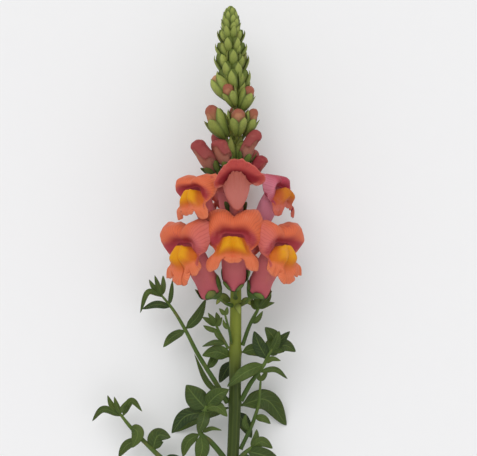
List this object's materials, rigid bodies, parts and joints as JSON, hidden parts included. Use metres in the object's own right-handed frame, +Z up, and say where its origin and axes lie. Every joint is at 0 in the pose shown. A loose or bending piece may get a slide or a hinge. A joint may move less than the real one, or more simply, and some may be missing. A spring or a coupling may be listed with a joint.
{
  "type": "cut snapdragon stem",
  "caption": "Single cut snapdragon stem lying down: spike of coral and orange lipped flowers with yellow palates, pink and green buds at the tip, leafy side shoots below",
  "frame": {"origin": "centre of the bounding box in plan, at the surface the stem lies on", "axes": "+Y runs along the stem from the cut end to the flower tip, +X is to the right of the side shown, +Z is up from the surface"},
  "size_m": [0.134, 0.3892, 0.077],
  "materials": {
    "petals": "matte",
    "pink_buds": "matte",
    "calyx_green": "matte",
    "bud_green": "matte",
    "leaf_green": "satin",
    "stem_green": "satin"
  },
  "bodies": {
    "root": {"bud_calyx_back_left": "calyx_green", "bud_calyx_back_right": "calyx_green", "bud_calyx_front": "calyx_green", "bud_calyx_left": "calyx_green", "bud_calyx_right_high": "calyx_green", "bud_calyx_right_low": "calyx_green", "calyx_half_open": "calyx_green", "calyx_lower_back": "calyx_green", "calyx_lower_front": "calyx_green", "calyx_lower_left": "calyx_green", "calyx_lower_right": "calyx_green", "calyx_middle_back": "calyx_green", "calyx_middle_left": "calyx_green", "calyx_middle_right": "calyx_green", "green_bud_back_high": "bud_green", "green_bud_back_low": "bud_green", "green_bud_front_high": "bud_green", "green_bud_front_low": "bud_green", "green_bud_left_high": "bud_green", "green_bud_left_low": "bud_green", "green_bud_right_high": "bud_green", "green_bud_right_low": "bud_green", "leaf_base_left": "leaf_green", "leaf_base_right": "leaf_green", "leaf_lower_left": "leaf_green", "leaf_lower_right": "leaf_green", "leaf_middle_back": "leaf_green", "leaf_middle_left_floor": "leaf_green", "leaf_middle_left_narrow": "leaf_green", "leaf_middle_right": "leaf_green", "leaf_upper_back": "leaf_green", "leaf_upper_left": "leaf_green", "leaf_upper_right": "leaf_green", "main_stem": "stem_green", "petals_half_open": "petals", "petals_lower_back": "petals", "petals_lower_front": "petals", "petals_lower_left": "petals", "petals_lower_right": "petals", "petals_middle_back": "petals", "petals_middle_left": "petals", "petals_middle_right": "petals", "pink_bud_back_left": "pink_buds", "pink_bud_back_right": "pink_buds", "pink_bud_front": "pink_buds", "pink_bud_left": "pink_buds", "pink_bud_right_high": "pink_buds", "pink_bud_right_low": "pink_buds", "shoot_bottom_left": "leaf_green", "shoot_left_cluster": "leaf_green", "shoot_left_long": "leaf_green", "shoot_left_small": "leaf_green", "shoot_left_twig": "leaf_green", "shoot_right_leafy": "leaf_green", "shoot_right_lower": "leaf_green", "shoot_right_middle": "leaf_green", "shoot_right_upper": "leaf_green", "spike_tip": "bud_green"}
  },
  "joints": []
}
